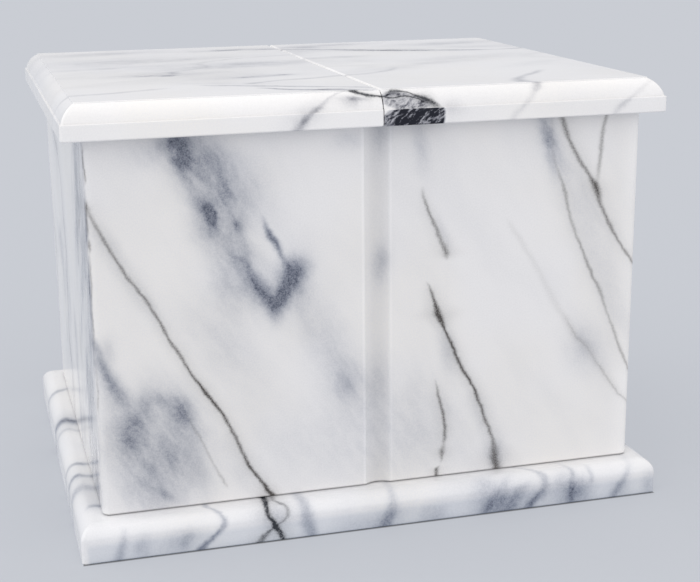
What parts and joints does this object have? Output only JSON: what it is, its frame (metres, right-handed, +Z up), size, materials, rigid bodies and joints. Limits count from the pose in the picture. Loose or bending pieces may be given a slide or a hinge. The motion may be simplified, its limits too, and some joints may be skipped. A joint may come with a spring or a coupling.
{
  "type": "cremation urn",
  "caption": "Rectangular companion cremation urn in polished veined marble: hollow body with a fluted front, paired moulded lift-off lids, and a wider plinth with a rounded edge.",
  "frame": {"origin": "middle of the plinth's underside", "axes": "+X to the right along the front, -Y out of the fluted front, +Z up"},
  "size_m": [0.3112, 0.2652, 0.2268],
  "materials": {
    "plinth_marble": "polished white marble with soft grey cross veins",
    "body_marble": "polished white marble with grey clouds and thin slanting veins",
    "left_lid_marble": "polished white marble with faint grey veins",
    "right_lid_marble": "polished white marble with faint grey veins and one dark mottled patch at the joint"
  },
  "bodies": {
    "root": {"plinth": "plinth_marble", "body": "body_marble", "left_lid": "left_lid_marble", "right_lid": "right_lid_marble"}
  },
  "joints": []
}
